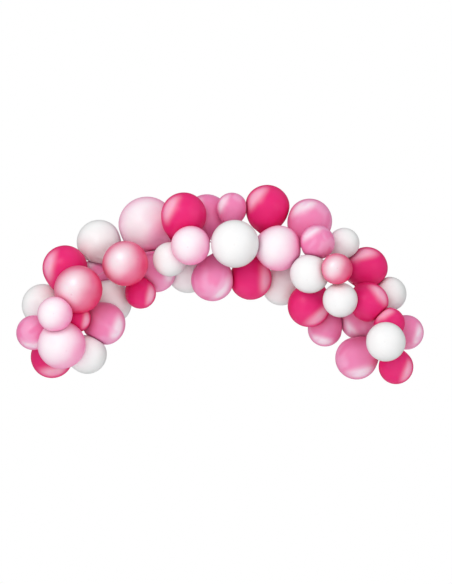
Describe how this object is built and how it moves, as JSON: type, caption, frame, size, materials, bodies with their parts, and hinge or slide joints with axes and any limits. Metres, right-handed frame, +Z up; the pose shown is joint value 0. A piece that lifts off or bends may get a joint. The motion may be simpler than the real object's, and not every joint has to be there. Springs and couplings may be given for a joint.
{
  "type": "balloon garland",
  "caption": "Arched garland of round latex balloons in pinks and white, tied along a flat clear strip and hung from its middle.",
  "frame": {"origin": "the middle of the strip's upper face, at the top of the arch, where the garland hangs", "axes": "+X across the arch to the right as seen from the front, +Y away from the viewer, +Z up"},
  "size_m": [2.2391, 0.7418, 1.093],
  "materials": {
    "clear_strip": "clear, smooth",
    "hot_pink_latex": "stretched latex, soft gloss",
    "rose_pearl_latex": "stretched pearl latex, pale at the crown, soft gloss",
    "bubblegum_pink_latex": "stretched latex, soft gloss",
    "blush_pink_latex": "stretched pearl latex, soft gloss",
    "white_latex": "stretched latex, soft gloss"
  },
  "bodies": {
    "root": {"decorating_strip": "clear_strip", "hot_pink_balloon_01": "hot_pink_latex", "white_balloon_01": "white_latex", "blush_pink_balloon_01": "blush_pink_latex", "bubblegum_pink_balloon_01": "bubblegum_pink_latex", "blush_pink_balloon_02": "blush_pink_latex", "white_balloon_02": "white_latex", "hot_pink_balloon_02": "hot_pink_latex", "bubblegum_pink_balloon_02": "bubblegum_pink_latex", "rose_pearl_balloon_01": "rose_pearl_latex", "hot_pink_balloon_03": "hot_pink_latex", "white_balloon_03": "white_latex", "bubblegum_pink_balloon_03": "bubblegum_pink_latex", "white_balloon_04": "white_latex", "rose_pearl_balloon_02": "rose_pearl_latex", "hot_pink_balloon_04": "hot_pink_latex", "bubblegum_pink_balloon_04": "bubblegum_pink_latex", "blush_pink_balloon_03": "blush_pink_latex", "white_balloon_05": "white_latex", "white_balloon_06": "white_latex", "hot_pink_balloon_05": "hot_pink_latex", "blush_pink_balloon_04": "blush_pink_latex", "bubblegum_pink_balloon_05": "bubblegum_pink_latex", "bubblegum_pink_balloon_06": "bubblegum_pink_latex", "bubblegum_pink_balloon_07": "bubblegum_pink_latex", "white_balloon_07": "white_latex", "hot_pink_balloon_06": "hot_pink_latex", "hot_pink_balloon_07": "hot_pink_latex", "blush_pink_balloon_05": "blush_pink_latex", "white_balloon_08": "white_latex", "bubblegum_pink_balloon_08": "bubblegum_pink_latex", "bubblegum_pink_balloon_09": "bubblegum_pink_latex", "white_balloon_09": "white_latex", "hot_pink_balloon_08": "hot_pink_latex", "white_balloon_10": "white_latex", "rose_pearl_balloon_03": "rose_pearl_latex", "bubblegum_pink_balloon_10": "bubblegum_pink_latex", "white_balloon_11": "white_latex", "hot_pink_balloon_09": "hot_pink_latex", "bubblegum_pink_balloon_11": "bubblegum_pink_latex", "hot_pink_balloon_10": "hot_pink_latex", "white_balloon_12": "white_latex", "hot_pink_balloon_11": "hot_pink_latex", "bubblegum_pink_balloon_12": "bubblegum_pink_latex", "white_balloon_13": "white_latex", "bubblegum_pink_balloon_13": "bubblegum_pink_latex", "hot_pink_balloon_12": "hot_pink_latex"}
  },
  "joints": []
}
